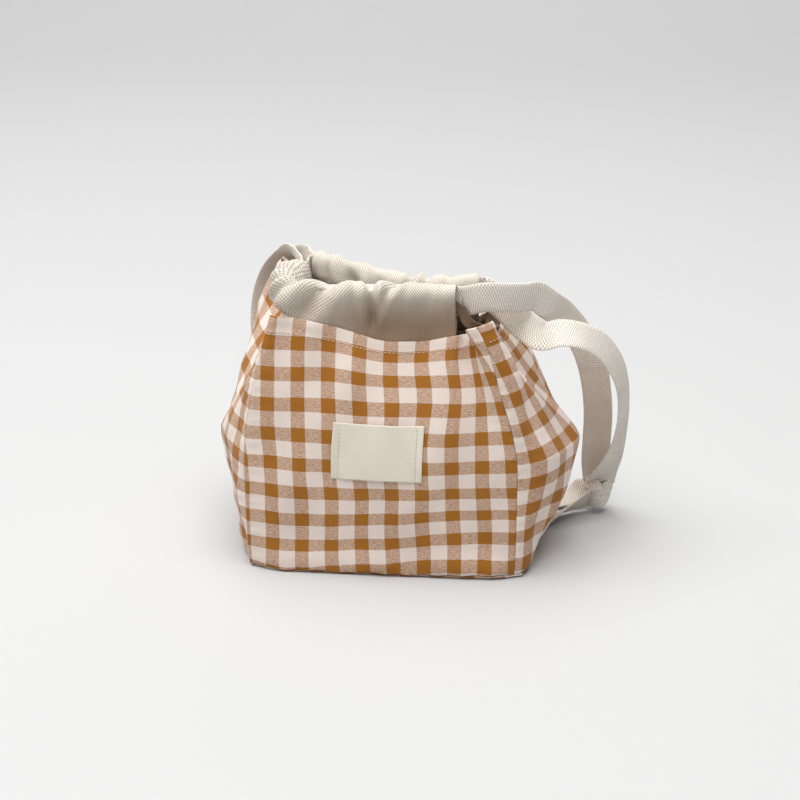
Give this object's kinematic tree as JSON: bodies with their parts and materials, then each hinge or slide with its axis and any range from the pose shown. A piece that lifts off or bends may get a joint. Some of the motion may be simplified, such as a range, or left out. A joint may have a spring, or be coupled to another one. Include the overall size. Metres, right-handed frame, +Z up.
{
  "type": "drawstring project bag",
  "caption": "Box-bottomed gingham cloth bag with canvas lining, gathered casings at the mouth and flat webbing drawstrings that close it from both sides.",
  "frame": {"origin": "middle of the base, on the surface it stands on", "axes": "+X to the bag's right, -Y to its front with the label, +Z up"},
  "size_m": [0.2798, 0.198, 0.2015],
  "materials": {
    "gingham": "ochre and pinkish-white woven check",
    "canvas": "beige twill canvas",
    "webbing": "beige herringbone webbing",
    "label_cloth": "cream cotton",
    "thread": "pale sewing thread"
  },
  "bodies": {
    "bag": {"base_panel": "gingham", "front_panel": "gingham", "back_panel": "gingham", "left_gusset": "gingham", "right_gusset": "gingham", "lining_base": "canvas", "lining_front": "canvas", "lining_back": "canvas", "lining_left": "canvas", "lining_right": "canvas", "front_casing": "canvas", "back_casing": "canvas", "label": "label_cloth", "label_thread_left": "thread", "label_thread_right": "thread", "rim_thread_front": "thread", "rim_thread_back": "thread", "rim_thread_left": "thread", "rim_thread_right": "thread"},
    "right_drawstring": {"right_cord_run": "webbing"},
    "right_loop": {"right_front_strand": "webbing", "right_back_strand": "webbing", "right_knot": "webbing", "right_front_tail": "webbing", "right_back_tail": "webbing"},
    "left_drawstring": {"left_cord_run": "webbing"},
    "left_loop": {"left_front_strand": "webbing", "left_back_strand": "webbing", "left_knot": "webbing", "left_front_tail": "webbing", "left_back_tail": "webbing"}
  },
  "joints": [
    {"name": "right_drawstring_pull", "type": "slide", "parent": "bag", "child": "right_drawstring", "axis": [1, 0, 0], "range_m": [0, 0.025], "deforming": ["front_casing", "right_cord_run"]},
    {"name": "right_loop_lift", "type": "hinge", "parent": "right_drawstring", "child": "right_loop", "pos_m": [0.066, -0.024, 0.188], "axis": [0.7254, -0.6884, 0], "range_deg": [0, 145], "deforming": ["right_front_strand", "right_back_strand"]},
    {"name": "left_drawstring_pull", "type": "slide", "parent": "bag", "child": "left_drawstring", "axis": [-0.3809, 0.9246, 0], "range_m": [0, 0.025], "deforming": ["back_casing", "left_cord_run"]},
    {"name": "left_loop_lift", "type": "hinge", "parent": "left_drawstring", "child": "left_loop", "pos_m": [-0.066, 0.04, 0.192], "axis": [0.8944, 0.4472, 0], "range_deg": [0, 145], "deforming": ["left_front_strand", "left_back_strand"]}
  ]
}
